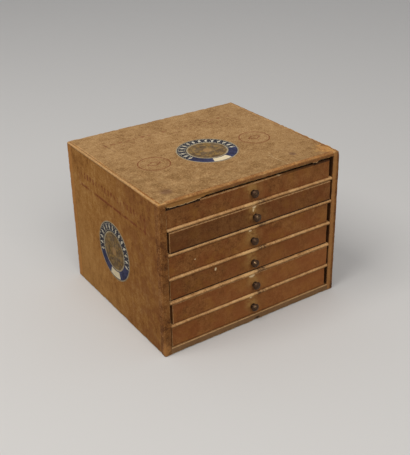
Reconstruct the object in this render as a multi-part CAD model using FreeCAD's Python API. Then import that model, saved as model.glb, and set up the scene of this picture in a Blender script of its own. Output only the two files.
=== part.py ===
"""Tabletop chest of six shallow thread drawers, glued up from pasteboard.

The case is five boards round five shelves.  Spacer strips glued inside the two
side boards hold the shelves apart, so that each drawer has a bay of its own.
A drawer is a pasteboard tray with a thicker front, pulled by a small turned
knob whose split pin is spread flat against the inside of the front.

Millimetres, +Z up, +X to the right of someone facing the drawers; the drawers
pull out along -Y.  The origin is on the surface the chest stands on, in the
middle of the whole outline with the knobs included.
"""
import FreeCAD, Part
import math
import os

# --- case ---------------------------------------------------------------
case_width = 262.0
case_depth = 232.0
case_height = 200.0
side_board = 4.0        # left and right boards
top_board = 5.8
base_thickness = 9.4
back_board = 4.0
shelf_board = 3.8
spacer_board = 5.8      # strips that hold the shelves apart
edge_radius = 1.8       # outer edges, rounded under the covering paper
mouth_radius = 0.7      # edges of the top and bottom boards round the case's mouth
nose_radius = 1.6       # over and under a shelf's front edge
shelf_setback = 0.4     # shelf nose behind the front edge of the case
spacer_setback = 0.5    # spacer ends behind the front edge of the case

# --- drawers ------------------------------------------------------------
drawer_count = 6
side_play = 2.7         # each side, with the drawer in the middle of its bay
top_play = 1.4          # above the drawer fronts
top_front_trim = 1.7    # taken off the top drawer's front, which clears the top board by that much more
rear_play = 0.3         # behind a drawer pushed home
front_setback = 3.0     # drawer front behind the front edge of the case, pushed home
front_board = 3.0
tray_board = 2.0        # tray bottom, sides and back
side_drop = 0.8         # tray sides and back below the top of the lowest front
front_radius = 0.9      # round the face of the front
widest_out = 2.6        # how far the drawer left furthest out stands from its home place
# How each drawer was left standing, from the top one down: its share of the
# side play, to the left when negative, and its share of the widest way out.
lean_share = (-0.9, 0.0, -0.8, -0.28, 0.3, -0.4)
out_share = (0.50, 1.0, 0.55, 0.25, 0.70, 0.50)

# --- knobs --------------------------------------------------------------
knob_radius = 5.2
knob_height = 12.2      # axis above the underside of the drawer front
collar_radius = 3.8
collar_length = 0.9     # thickness of the collar that seats on the front
neck_radius = 2.1
neck_flare = 0.6        # the neck is wider by this at its two ends
neck_length = 2.6
underside_length = 0.9  # sloping underside of the head
rim_length = 1.3        # rounded rim of the head
dome_length = 2.2
socket_depth = 3.2      # to which the pin is soldered into the knob
pin_radius = 1.1
pin_fit = 0.03          # round the pin in the knob
pin_hole_fit = 0.15     # round the pin in the drawer front
leg_split = 0.2         # between the two legs of the pin
leg_length = 9.0        # of each spread leg, from the pin's axis
leg_width = 1.8
leg_thickness = 0.9

# --- paper labels -------------------------------------------------------
label_radius = 39.5
label_paper = 0.25
top_label_left = 1.3        # top label, left of the middle of the top
top_label_forward = 18.0    # top label, forward of the middle of the top
side_label_forward = 0.5    # side labels, forward of the middle of the side
side_label_drop = 9.5       # side labels, below the middle of the side

# --- worked out from the sizes above ------------------------------------
shelf_count = drawer_count - 1
bay_height = (case_height - top_board - base_thickness - shelf_count * shelf_board) / drawer_count
x_out = case_width / 2.0
x_shelf = x_out - side_board
x_bay = x_shelf - spacer_board
head_start = collar_length + neck_length
knob_reach = head_start + underside_length + rim_length + dome_length
proud = max(0.0, knob_reach + widest_out * max(out_share) - front_setback)
outline_depth = case_depth + proud
y_front = proud - outline_depth / 2.0
y_back = y_front + case_depth
y_inside = y_back - back_board
y_middle = (y_front + y_back) / 2.0
full_front = bay_height - top_play
front_width = 2.0 * (x_bay - side_play)
drawer_length = y_inside - rear_play - (y_front + front_setback)
tray_wall = full_front - top_front_trim - tray_board - side_drop
edge_limit = 0.45           # most of a board's thickness that one rounding takes

BACKWARD = FreeCAD.Vector(0, 1, 0)


def bay_floor(number):
    """Height of the floor of a bay; bay 1 is the top one."""
    return base_thickness + (drawer_count - number) * (bay_height + shelf_board)


def slab(x0, x1, y0, y1, z0, z1):
    """Box between two pairs of planes on each axis, given in either order."""
    low = FreeCAD.Vector(min(x0, x1), min(y0, y1), min(z0, z1))
    return Part.makeBox(abs(x1 - x0), abs(y1 - y0), abs(z1 - z0), low)


def near(value, target):
    return abs(value - target) < 1e-6


def round_edges(shape, radius, wall, test):
    """Round the straight edges whose two ends both pass the test."""
    chosen = []
    for edge in shape.Edges:
        if all(test(vertex.Point) for vertex in edge.Vertexes):
            chosen.append(edge)
    return shape.makeFillet(min(radius, edge_limit * wall), chosen)


def save(name, shape):
    shape.exportStep(os.path.join("parts", name + ".step"))


# --- case boards --------------------------------------------------------
def side_panel(side):
    """Full-height side board; its outer face and its four corners are rounded."""
    outer = side * x_out
    board = slab(outer, side * x_shelf, y_front, y_back, 0.0, case_height)
    rounded = []
    for edge in board.Edges:
        start, end = [vertex.Point for vertex in edge.Vertexes]
        on_outer_face = near(start.x, outer) and near(end.x, outer)
        through_board = not near(start.x, end.x)
        if on_outer_face or through_board:
            rounded.append(edge)
    return board.makeFillet(min(edge_radius, edge_limit * side_board), rounded)


def level_panel(outer_z, inner_z):
    """Top or bottom board, fitted between the side boards."""
    wall = abs(outer_z - inner_z)
    board = slab(-x_shelf, x_shelf, y_front, y_back, outer_z, inner_z)
    board = round_edges(board, edge_radius, wall, lambda p: near(p.z, outer_z) and near(p.y, y_front))
    board = round_edges(board, edge_radius, wall, lambda p: near(p.z, outer_z) and near(p.y, y_back))
    return round_edges(board, mouth_radius, wall, lambda p: near(p.z, inner_z) and near(p.y, y_front))


def rear_panel():
    return slab(-x_shelf, x_shelf, y_inside, y_back, base_thickness, case_height - top_board)


def shelf(number):
    """Shelf that carries a drawer, with a rounded nose."""
    top = bay_floor(number)
    y_nose = y_front + shelf_setback
    board = slab(-x_shelf, x_shelf, y_nose, y_inside, top - shelf_board, top)
    board = round_edges(board, nose_radius, shelf_board, lambda p: near(p.y, y_nose) and near(p.z, top))
    return round_edges(board, nose_radius, shelf_board,
                       lambda p: near(p.y, y_nose) and near(p.z, top - shelf_board))


def spacer_set(side):
    """The strips inside one side board, one in each bay."""
    strips = []
    for number in range(1, drawer_count + 1):
        floor = bay_floor(number)
        strips.append(slab(side * x_shelf, side * x_bay, y_front + spacer_setback, y_inside,
                           floor, floor + bay_height))
    return Part.makeCompound(strips)


# --- drawers ------------------------------------------------------------
def drawer_place(number):
    """Middle x, face y and floor z of a drawer as it stands."""
    x = lean_share[(number - 1) % len(lean_share)] * side_play
    y = y_front + front_setback - out_share[(number - 1) % len(out_share)] * widest_out
    return x, y, bay_floor(number)


def knob_seat(number):
    """Point where the knob's axis meets the face of the drawer."""
    x, y, z = drawer_place(number)
    return FreeCAD.Vector(x, y, z + knob_height)


def drawer_front(number):
    x, y, z = drawer_place(number)
    half = front_width / 2.0
    front_height = full_front - (top_front_trim if number == 1 else 0.0)
    board = slab(x - half, x + half, y, y + front_board, z, z + front_height)
    board = round_edges(board, front_radius, front_board, lambda p: near(p.y, y))
    return board.cut(Part.makeCylinder(pin_radius + pin_hole_fit, front_board, knob_seat(number), BACKWARD))


def drawer_bottom(number):
    x, y, z = drawer_place(number)
    half = front_width / 2.0
    return slab(x - half, x + half, y + front_board, y + drawer_length, z, z + tray_board)


def drawer_side(number, side):
    x, y, z = drawer_place(number)
    outer = x + side * front_width / 2.0
    floor = z + tray_board
    return slab(outer, outer - side * tray_board, y + front_board, y + drawer_length,
                floor, floor + tray_wall)


def drawer_back(number):
    x, y, z = drawer_place(number)
    half = front_width / 2.0 - tray_board
    rear = y + drawer_length
    floor = z + tray_board
    return slab(x - half, x + half, rear - tray_board, rear, floor, floor + tray_wall)


def knob(number):
    """Turned knob: beaded collar, waisted neck and domed head, revolved about its axis."""
    seat = knob_seat(number)

    def at(radius, out):
        return FreeCAD.Vector(seat.x + radius, seat.y - out, seat.z)

    bore = pin_radius + pin_fit
    bead_start = collar_radius - collar_length / 2.0
    neck_end = neck_radius + neck_flare
    rim_start = head_start + underside_length
    rim_end = rim_start + rim_length
    rim_inner = knob_radius - rim_length / 2.0
    dome_radius = (rim_inner ** 2 + dome_length ** 2) / (2.0 * dome_length)
    half_angle = math.atan2(rim_inner, dome_radius - dome_length) / 2.0
    dome_middle = at(dome_radius * math.sin(half_angle),
                     knob_reach - dome_radius * (1.0 - math.cos(half_angle)))
    outline = [
        Part.LineSegment(at(0, socket_depth), at(bore, socket_depth)),
        Part.LineSegment(at(bore, socket_depth), at(bore, 0)),
        Part.LineSegment(at(bore, 0), at(bead_start, 0)),
        Part.Arc(at(bead_start, 0), at(collar_radius, collar_length / 2.0), at(bead_start, collar_length)),
        Part.LineSegment(at(bead_start, collar_length), at(neck_end, collar_length)),
        Part.Arc(at(neck_end, collar_length), at(neck_radius, collar_length + neck_length / 2.0),
                 at(neck_end, head_start)),
        Part.LineSegment(at(neck_end, head_start), at(rim_inner, rim_start)),
        Part.Arc(at(rim_inner, rim_start), at(knob_radius, rim_start + rim_length / 2.0),
                 at(rim_inner, rim_end)),
        Part.Arc(at(rim_inner, rim_end), dome_middle, at(0, knob_reach)),
        Part.LineSegment(at(0, knob_reach), at(0, socket_depth)),
    ]
    face = Part.Face(Part.Wire([piece.toShape() for piece in outline]))
    return face.revolve(seat, BACKWARD, 360)


def knob_pin(number):
    """Split pin: a round root in the knob, then two legs spread left and right behind the front."""
    seat = knob_seat(number)
    root = Part.makeCylinder(pin_radius, socket_depth, seat - BACKWARD * socket_depth, BACKWARD)
    stem = Part.makeCylinder(pin_radius, front_board + leg_thickness, seat, BACKWARD)
    split = slab(seat.x - leg_split / 2.0, seat.x + leg_split / 2.0,
                 seat.y, seat.y + front_board + leg_thickness,
                 seat.z - pin_radius, seat.z + pin_radius)
    pin = root.fuse(stem.cut(split))
    leg_start = seat.y + front_board
    for side in (-1, 1):
        leg = slab(seat.x + side * leg_split / 2.0, seat.x + side * leg_length,
                   leg_start, leg_start + leg_thickness,
                   seat.z - leg_width / 2.0, seat.z + leg_width / 2.0)
        pin = pin.fuse(leg)
    return pin.removeSplitter()


# --- labels -------------------------------------------------------------
def top_label():
    centre = FreeCAD.Vector(-top_label_left, y_middle - top_label_forward, case_height)
    return Part.makeCylinder(label_radius, label_paper, centre)


def side_label(side):
    centre = FreeCAD.Vector(side * x_out, y_middle - side_label_forward, case_height / 2.0 - side_label_drop)
    return Part.makeCylinder(label_radius, label_paper, centre, FreeCAD.Vector(side, 0, 0))


os.makedirs("parts", exist_ok=True)

save("left_board", side_panel(-1))
save("right_board", side_panel(1))
save("top_board", level_panel(case_height, case_height - top_board))
save("bottom_board", level_panel(0.0, base_thickness))
save("back_board", rear_panel())
save("left_spacers", spacer_set(-1))
save("right_spacers", spacer_set(1))
for number in range(1, shelf_count + 1):
    save("shelf_%d" % number, shelf(number))

save("top_label", top_label())
save("left_label", side_label(-1))
save("right_label", side_label(1))

for number in range(1, drawer_count + 1):
    stem = "drawer_%d_" % number
    save(stem + "front", drawer_front(number))
    save(stem + "bottom", drawer_bottom(number))
    save(stem + "left_side", drawer_side(number, -1))
    save(stem + "right_side", drawer_side(number, 1))
    save(stem + "back", drawer_back(number))
    save(stem + "knob", knob(number))
    save(stem + "knob_pin", knob_pin(number))
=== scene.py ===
"""Finish of a tabletop chest of six thread drawers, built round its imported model.

The chest is pasteboard covered in brown kraft paper that has aged, rubbed and torn.
Its sizes are in millimetres, and each mesh is brought to metres as it is made.  The camera
and the studio are set out in metres.
"""

import math

import bpy
import numpy as np
from mathutils import Matrix, Vector, noise


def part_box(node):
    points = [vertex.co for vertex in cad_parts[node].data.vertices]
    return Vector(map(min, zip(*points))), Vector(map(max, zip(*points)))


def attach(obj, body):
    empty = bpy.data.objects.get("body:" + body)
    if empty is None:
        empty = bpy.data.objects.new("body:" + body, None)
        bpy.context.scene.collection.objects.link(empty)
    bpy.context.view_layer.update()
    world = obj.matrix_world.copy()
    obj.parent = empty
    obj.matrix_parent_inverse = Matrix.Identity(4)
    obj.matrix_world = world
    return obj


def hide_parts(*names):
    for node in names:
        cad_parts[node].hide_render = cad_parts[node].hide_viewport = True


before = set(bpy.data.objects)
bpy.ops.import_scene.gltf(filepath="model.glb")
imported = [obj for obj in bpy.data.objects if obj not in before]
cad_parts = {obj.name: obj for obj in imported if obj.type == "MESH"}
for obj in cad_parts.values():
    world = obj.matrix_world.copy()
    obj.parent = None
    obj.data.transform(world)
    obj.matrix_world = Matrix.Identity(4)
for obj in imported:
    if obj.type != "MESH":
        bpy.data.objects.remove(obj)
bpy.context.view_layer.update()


# === Camera =============================================================
# A longer lens than normal, a little above the chest and to the left of its front.
# It is aimed at the middle of the case, and its frame is shifted down a little.
CASE_MIDDLE = (Vector(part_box("left_board")[0]) + Vector(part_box("right_board")[1])) / 2.0
CAMERA_AZIMUTH = math.radians(-33.366)
CAMERA_HEIGHT_ANGLE = math.radians(25.147)
CAMERA_ROLL = math.radians(-1.162)
CAMERA_DISTANCE = 1.0243
AIM_RIGHT = 0.00431         # case middle from the lens axis, to the left
AIM_UP = 0.03436
PIXELS_HIGH = 455
FOCAL_PIXELS = 776.3
AXIS_ABOVE_MIDDLE = 37.5    # pixels from the middle of the frame up to the lens axis

back = Vector((math.sin(CAMERA_AZIMUTH) * math.cos(CAMERA_HEIGHT_ANGLE),
               -math.cos(CAMERA_AZIMUTH) * math.cos(CAMERA_HEIGHT_ANGLE),
               math.sin(CAMERA_HEIGHT_ANGLE)))
level_right = Vector((0, 0, 1)).cross(back).normalized()
level_up = back.cross(level_right)
right = level_right * math.cos(CAMERA_ROLL) + level_up * math.sin(CAMERA_ROLL)
up = level_up * math.cos(CAMERA_ROLL) - level_right * math.sin(CAMERA_ROLL)
lens = bpy.data.cameras.new("camera")
lens.lens = FOCAL_PIXELS / PIXELS_HIGH * lens.sensor_width
lens.shift_y = -AXIS_ABOVE_MIDDLE / PIXELS_HIGH
camera = bpy.data.objects.new("camera", lens)
camera.matrix_world = Matrix((right, up, back)).transposed().to_4x4()
camera.location = CASE_MIDDLE + back * CAMERA_DISTANCE + right * AIM_RIGHT + up * AIM_UP
bpy.context.scene.collection.objects.link(camera)
bpy.context.scene.camera = camera


# === Studio =============================================================
# A pale floor under a large soft lamp from the left and above, with a weak fill in front.
# The floor and the world look pale to the lens, and throw back only a little light.
FLOOR_HALF = 6.0
FLOOR_SEEN = (0.70, 0.69, 0.67, 1.0)
FLOOR_BOUNCE = (0.16, 0.16, 0.16, 1.0)
WORLD_SEEN = (0.74, 0.735, 0.72, 1.0)
WORLD_LIGHT = (0.36, 0.36, 0.37, 1.0)
LAMPS = (                   # name, place, side, watts and colour
    ("key", (-1.3, -0.1, 2.1), 1.3, 26.0, (1.0, 0.97, 0.93)),
    ("front", (-0.35, -1.85, 1.75), 1.3, 15.7, (1.0, 0.98, 0.94)),
)


def wire(tree, kind, feeds=None, **settings):
    """Add a node, set it up, and feed its inputs from numbers or from other nodes."""
    made = tree.nodes.new(kind if "Node" in kind else "ShaderNode" + kind)
    for name, value in settings.items():
        setattr(made, name, value)
    for name, value in (feeds or {}).items():
        value = getattr(value, "socket", value)
        if isinstance(value, bpy.types.NodeSocket):
            tree.links.new(value, made.inputs[name])
        else:
            made.inputs[name].default_value = value
    return made


def pale_to_lens(tree, bounce, seen, target):
    """Feed target the seen colour for the lens, mirrors and glass, and the bounce colour for the rest."""
    path = wire(tree, "LightPath").outputs
    direct = path["Is Camera Ray"]
    for kind in ("Is Glossy Ray", "Is Transmission Ray"):
        direct = wire(tree, "Math", {0: direct, 1: path[kind]}, operation="MAXIMUM").outputs[0]
    tree.links.new(wire(tree, "Mix", {0: direct, 6: bounce, 7: seen}, data_type="RGBA").outputs[2], target)


def new_finish(name, specular):
    """Material with its tree and its shader."""
    finish = bpy.data.materials.new(name)
    finish.use_nodes = True
    shader = finish.node_tree.nodes["Principled BSDF"]
    shader.inputs["Specular IOR Level"].default_value = specular
    return finish, finish.node_tree, shader


floor_finish, floor_tree, floor_shader = new_finish("studio_floor", 0.1)
floor_shader.inputs["Roughness"].default_value = 0.9
pale_to_lens(floor_tree, FLOOR_BOUNCE, FLOOR_SEEN, floor_shader.inputs["Base Color"])
floor_mesh = bpy.data.meshes.new("floor")
floor_corners = [(FLOOR_HALF * x, FLOOR_HALF * y, 0.0) for x, y in ((-1, -1), (1, -1), (1, 1), (-1, 1))]
floor_mesh.from_pydata(floor_corners, [], [(0, 1, 2, 3)])
floor_mesh.materials.append(floor_finish)
floor = bpy.data.objects.new("floor", floor_mesh)
bpy.context.scene.collection.objects.link(floor)

world = bpy.data.worlds.new("studio")
world.use_nodes = True
pale_to_lens(world.node_tree, WORLD_LIGHT, WORLD_SEEN, world.node_tree.nodes["Background"].inputs["Color"])
bpy.context.scene.world = world
for name, place, side, watts, colour in LAMPS:
    lamp = bpy.data.lights.new(name, "AREA")
    lamp.size = side
    lamp.energy = watts
    lamp.color = colour
    holder = bpy.data.objects.new(name, lamp)
    holder.location = place
    holder.rotation_euler = (Vector(place) - CASE_MIDDLE).to_track_quat("Z", "Y").to_euler()
    bpy.context.scene.collection.objects.link(holder)
bpy.context.scene.view_settings.view_transform = "Standard"


# === Side boards ========================================================
# Pasteboard of about 4 mm, full height, covered in golden-brown kraft paper that is
# turned over every outer edge.  The paper is rubbed through along the edges and darker at
# the front, where hands have held the chest.
MM = 0.001
EDGE_RADIUS = 1.8
SEAM_RADIUS = 0.15          # where two boards meet
OUTER_FLEX = 0.20           # hollows in an outer face
INNER_FLEX = 0.03
RUB_REACH = 1.7             # how far rubbing goes from an edge
CHEW_DEPTH = 0.75           # of the bites out of rubbed edges, and the bites' size
BITE_SIZE = 7.5
CHEW_REACH = 6.0            # how far from the top's right and rear edges chewing is deeper
CHEW_MORE, CHEW_REAR = 2.4, 0.3     # by how much at the right, and the rear edge's share of that
CHEW_FROM, CHEW_FADE = 22.0, 9.0    # y at which it is half that deep at the right, and its fade
CRUSH_DEPTH = 1.5           # of the top's front right corner, and how far round it
CRUSH_REACH = 5.0
BROAD_HOLLOWS, SMALL_HOLLOWS = 52.0, 7.5    # sizes of the hollows in a board
NEXT_NOISE = Vector((7.7, 3.1, 5.3))        # from one seed's noise to the next
NEAR_END = (0.0, 0.4, 0.8, 1.2, 1.6, 2.2, 3.0, 4.0)     # close steps of a grid near its ends
SIDES = ("left", "right", "front", "rear", "foot", "top")       # the order of a board's six values


def span(node):
    """Lowest and highest corner of a node, in millimetres."""
    low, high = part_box(node)
    return np.array(low) / MM, np.array(high) / MM


def sides(most, **others):
    """One value for each of a board's six sides."""
    return tuple(others.get(side, most) for side in SIDES)


def mirrored(six):
    """The six values of a left-hand piece, for the right-hand one."""
    return (six[1], six[0]) + tuple(six[2:])


def held(value):
    """Value held between 0 and 1."""
    return np.clip(value, 0.0, 1.0)


def lumps(points, size, seed=0.0, octaves=2):
    """Smooth noise of about -1 to 1, with lumps of the given size."""
    shift = NEXT_NOISE * seed
    return np.array([noise.fractal(Vector(p) / size + shift, 0.8, 2.1, octaves) for p in points])


def hollows(points):
    """How far an outer face has sunk at each point, from 0 to about 1.3."""
    broad = held(0.5 + 0.6 * lumps(points, BROAD_HOLLOWS, 1.0))
    small = held(0.5 + 0.6 * lumps(points, SMALL_HOLLOWS, 2.0))
    return broad + 0.3 * small


def graded_steps(low, high, cell):
    """Places from low to high: close together near both ends and a cell apart between."""
    length = high - low
    near_end = [step for step in NEAR_END if step < 0.42 * length]
    count = max(1, round((length - 2.0 * near_end[-1]) / cell))
    between = np.linspace(near_end[-1], length - near_end[-1], count + 1)
    steps = near_end + list(between[1:-1]) + [length - step for step in reversed(near_end)]
    return low + np.array(steps)


def box_skin(xs, ys, zs):
    """Points and outward quads of a box's surface on a grid."""
    skin = np.ones((len(xs), len(ys), len(zs)), bool)
    skin[1:-1, 1:-1, 1:-1] = False
    index = np.full(skin.shape, -1)
    index[skin] = np.arange(skin.sum())
    points = np.stack(np.meshgrid(xs, ys, zs, indexing="ij"), -1)[skin]
    quads = []
    for axis in range(3):
        for end in (0, -1):
            sheet = np.take(index, end, axis)
            corners = (sheet[:-1, :-1], sheet[1:, :-1], sheet[1:, 1:], sheet[:-1, 1:])
            ring = np.stack(corners, -1).reshape(-1, 4)
            turned = (end == 0) != (axis == 1)
            quads.append(ring[:, ::-1] if turned else ring)
    return points, np.concatenate(quads)


def round_off(points, low, high, radii):
    """Points moved onto the rounded box, and the outward direction at each."""
    low_radii, high_radii = np.array(radii[0::2]), np.array(radii[1::2])
    inner = np.clip(points, low + low_radii, high - high_radii)
    away = points - inner
    reach = np.where(away < 0.0, low_radii, high_radii)
    share = away / reach
    share /= np.maximum(np.linalg.norm(share, axis=1, keepdims=True), 1e-9)
    outward = share / reach
    outward /= np.maximum(np.linalg.norm(outward, axis=1, keepdims=True), 1e-9)
    return inner + share * reach, outward


def rubbing(points, low, high, rub):
    """Closeness to the rubbed edges, from 0 to 1; rub weighs the six sides."""
    gaps = np.stack([points - low, high - points], -1).reshape(-1, 6)
    close = np.exp(-gaps / RUB_REACH) * np.array(rub)
    total = np.zeros(len(points))
    for first in range(6):
        for second in range(first + 1, 6):
            if first // 2 != second // 2:
                total = np.maximum(total, close[:, first] * close[:, second])
    return held(total * 1.6)


def chewing(points):
    """How much deeper than elsewhere edges are chewed: most on the top's right edge and corner."""
    x, y, z = points.T
    forward = 1.0 / (1.0 + np.exp((y - CHEW_FROM) / CHEW_FADE))
    right_edge = np.exp(-((x - CASE_RIGHT) ** 2 + (z - CASE_TOP) ** 2) / CHEW_REACH ** 2) * forward
    rear_edge = CHEW_REAR * np.exp(-((y - CASE_REAR) ** 2 + (z - CASE_TOP) ** 2) / CHEW_REACH ** 2)
    return 1.0 + CHEW_MORE * np.maximum(right_edge, rear_edge)


def crushing(points):
    """How far the top's front right corner is crushed inward at each point."""
    away = points - (CASE_RIGHT, CASE_FRONT, CASE_TOP)
    return CRUSH_DEPTH * np.exp(-(away ** 2).sum(axis=1) / CRUSH_REACH ** 2)


def bites_at(points):
    """How deep the edges are bitten at each point, against the usual depth."""
    return held(lumps(points, BITE_SIZE, 3.0, 4) + 0.25) * chewing(points)


def worn_skin(low, high, rounding, rub, flex, cell, chew=CHEW_DEPTH):
    """Points, quads and rub of one aged board: rounded, sunk a little and chewed at its edges."""
    grids = [graded_steps(low[axis], high[axis], cell[axis]) for axis in range(3)]
    points, quads = box_skin(*grids)
    rubbed = rubbing(points, low, high, rub)
    points, outward = round_off(points, low, high, rounding)
    facing = np.stack([-outward, outward], -1).reshape(-1, 6).clip(0.0)
    depth = hollows(points) * (facing @ np.array(flex))
    depth += rubbed * bites_at(points) * chew + crushing(points)
    return points - outward * depth[:, None], quads, rubbed


def make_piece(name, points, faces, finish, body, slot, stands_for=(), crease=None, **layers):
    """Piece from points in millimetres; each layer holds a value per point for its finish."""
    mesh = bpy.data.meshes.new(name)
    places = (np.asarray(points) * MM).tolist()
    mesh.from_pydata(places, [], [[int(corner) for corner in face] for face in faces])
    mesh.polygons.foreach_set("use_smooth", [True] * len(mesh.polygons))
    if crease:
        mesh.set_sharp_from_angle(angle=math.radians(crease))
    for layer, values in layers.items():
        mesh.attributes.new(layer, "FLOAT", "POINT").data.foreach_set("value", values)
    mesh.materials.append(finish)
    made = bpy.data.objects.new(name, mesh)
    bpy.context.scene.collection.objects.link(made)
    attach(made, body)
    if stands_for:
        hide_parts(*stands_for)


def cover(node, finish, slot, *shape, kind="covered", **chew):
    """Put a worn, papered board in the place of one board of the case."""
    points, quads, wear = worn_skin(*span(node), *shape, **chew)
    make_piece("%s_%s" % (kind, node), points, quads, finish, "case", slot, [node], wear=wear)


def paint(colour):
    """Colour written as 0 to 255 on a screen, for a shader; one that a node makes stays as it is."""
    if not isinstance(colour, tuple):
        return colour
    shares = [value / 255.0 for value in colour]
    return tuple([s / 12.92 if s < 0.04045 else ((s + 0.055) / 1.055) ** 2.4 for s in shares] + [1.0])


class Wired:
    """What a node puts out, on which further nodes can be built."""

    def __init__(self, tree, socket):
        self.tree = tree
        self.socket = socket

    def value(self, kind, feeds, output=0, **settings):
        """Number or colour that a further node puts out."""
        return Value(self.tree, wire(self.tree, kind, feeds, **settings).outputs[output])

    def to(self, target):
        """Feed this to an input."""
        self.tree.links.new(self.socket, target)


class Value(Wired):
    """A number or colour that changes over a piece, on which sums can be written."""

    def reckon(self, operation, *others):
        """Result of one operation on this value and others."""
        return self.value("Math", dict(enumerate((self, *others))), operation=operation)

    def __add__(self, other):
        return self.reckon("ADD", other)

    def __sub__(self, other):
        return self.reckon("SUBTRACT", other)

    def __mul__(self, other):
        return self.reckon("MULTIPLY", other)

    def __abs__(self):
        return self.reckon("ABSOLUTE")

    def most(self, other):
        """The larger of two values."""
        return self.reckon("MAXIMUM", other)

    def ease(self, low, high, start=0.0, end=1.0):
        """Smooth step from start where the value is low to end where it is high."""
        feeds = {"Value": self, "From Min": low, "From Max": high, "To Min": start, "To Max": end}
        return self.value("MapRange", feeds, interpolation_type="SMOOTHSTEP")

    def band(self, low, high, soft=0.5):
        """Mask that is 1 while the value lies between low and high."""
        return self.ease(low - soft, low + soft) * self.ease(high + soft, high - soft)

    def line(self, at, half):
        """Mask of a line where the value passes at, solid in its core and soft beside that."""
        return abs(self - at).ease(half, 0.3 * half)

    def ticks(self, pitch, share):
        """Mask of short strokes, one each pitch, as wide as share of the pitch."""
        edge = share * pitch / 2.0
        return self.reckon("PINGPONG", pitch / 2.0).ease(edge + 0.25, edge - 0.25)

    def tint(self, under, over):
        """Colour under, with colour over laid on it where this mask is 1."""
        return self.value("Mix", {0: self, 6: paint(under), 7: paint(over)}, 2, data_type="RGBA")


class Place(Wired):
    """Where a point of a piece is, in millimetres, and what its papers' patterns read from that."""

    def moved(self, operation, other):
        """This place after one sum with another."""
        moved = wire(self.tree, "VectorMath", {0: self, 1: other}, operation=operation)
        return Place(self.tree, moved.outputs[0])

    def __sub__(self, other):
        return self.moved("SUBTRACT", other)

    def __mul__(self, other):
        return self.moved("MULTIPLY", other)

    def measured(self, operation, other=(0.0, 0.0, 0.0)):
        """One number made from this place, such as how far it is from another."""
        return self.value("VectorMath", {0: self, 1: other}, "Value", operation=operation)

    def axes(self):
        """The three coordinates."""
        return [Value(self.tree, socket) for socket in wire(self.tree, "SeparateXYZ", {0: self}).outputs]

    def layer(self, name):
        """A value that the piece's mesh holds at each point."""
        return self.value("Attribute", {}, "Fac", attribute_name=name)

    def grain(self, size, detail=4.0, rough=0.6, warp=0.0):
        """Noise from 0 to 1 whose lumps are about size millimetres."""
        feeds = {"Vector": self, "Scale": 1.0 / size, "Detail": detail, "Roughness": rough,
                 "Distortion": warp}
        return self.value("TexNoise", feeds, "Fac")

    def patches(self, mask, size=9.0, least=0.38):
        """Mask thinned out unevenly, as old ink is."""
        return mask * self.grain(size, 4.0, 0.7).ease(least, least + 0.22)

    def blot(self, centre, radius, ragged=0.6, stretch=(1.0, 1.0, 1.0)):
        """Mask of one blot."""
        feeds = {"Place": self, "Centre": centre, "Radius": radius, "Ragged": ragged, "Stretch": stretch}
        return self.value("Group", feeds, "Mask", node_tree=blot_group)

    def rubbed(self, ragged, least):
        """Mask of where the paper is rubbed through."""
        feeds = {"Place": self, "Wear": self.layer("wear"), "Ragged": ragged, "Least": least}
        return self.value("Group", feeds, "Mask", node_tree=rub_group)


def place_in(tree):
    """Object coordinates in millimetres."""
    spot = wire(tree, "TexCoord").outputs["Object"]
    return Place(tree, wire(tree, "VectorMath", {0: spot, "Scale": 1.0 / MM}, operation="SCALE").outputs[0])


def new_group(name, takes, gives, kind="ShaderNodeTree"):
    """Node group with named sockets: its tree, what it takes and what it gives."""
    tree = bpy.data.node_groups.new(name, kind)
    for label, sort, value in takes:
        socket = tree.interface.new_socket(label, in_out="INPUT", socket_type="NodeSocket" + sort)
        if value is not None:
            socket.default_value = value
    for label, sort in gives:
        tree.interface.new_socket(label, in_out="OUTPUT", socket_type="NodeSocket" + sort)
    return tree, tree.nodes.new("NodeGroupInput").outputs, tree.nodes.new("NodeGroupOutput").inputs


def make_kraft_group():
    """Mottled kraft paper: clouds, blotches, pressed grain, streaks along one way, and specks."""
    tree, takes, gives = new_group(
        "kraft_paper",
        [("Place", "Vector", None), ("Main", "Color", None), ("Deep", "Color", None),
         ("Pale", "Color", None), ("Clouds", "Float", 0.6), ("Mottle", "Float", 0.5),
         ("Grain", "Float", 0.6), ("Streaks", "Float", 0.2), ("Drag", "Vector", (1.0, 1.0, 1.0)),
         ("Specks", "Float", 0.5)],
        [("Colour", "Color"), ("Height", "Float")])
    place = Place(tree, takes["Place"])
    clouds = place.grain(34.0, 4.0, 0.62, 0.6).ease(0.34, 0.66, -0.5, 0.5) * takes["Clouds"]
    mottle = place.grain(7.0, 5.0, 0.68, 0.3).ease(0.36, 0.64, -0.5, 0.5) * takes["Mottle"]
    grain = place.grain(1.9, 5.0, 0.75).ease(0.36, 0.64, -0.5, 0.5) * takes["Grain"]
    streaks = (place * takes["Drag"]).grain(5.0).ease(0.34, 0.66, -0.5, 0.5) * takes["Streaks"]
    shade = clouds + mottle + grain + streaks
    colour = shade.ease(0.0, 0.8).tint(takes["Main"], takes["Deep"])
    colour = shade.ease(0.0, -0.8).tint(colour, takes["Pale"])
    specks = place.grain(1.1, 3.0).ease(0.63, 0.72) * takes["Specks"]
    specks.tint(colour, takes["Deep"]).to(gives["Colour"])
    (place.grain(0.55, 2.0, 0.5) * 0.35 + shade).to(gives["Height"])
    return tree


def make_rub_group():
    """Where paper is rubbed through: the piece's own wear, broken up by a ragged grain."""
    tree, takes, gives = new_group(
        "rubbed_through",
        [("Place", "Vector", None), ("Wear", "Float", 0.0), ("Ragged", "Float", 0.9),
         ("Least", "Float", 0.5)],
        [("Mask", "Float")])
    ragged = Place(tree, takes["Place"]).grain(2.3, 6.0, 0.78, 0.4) - 0.5
    (ragged * takes["Ragged"] + takes["Wear"] - takes["Least"]).ease(-0.05, 0.14).to(gives["Mask"])
    return tree


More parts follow.
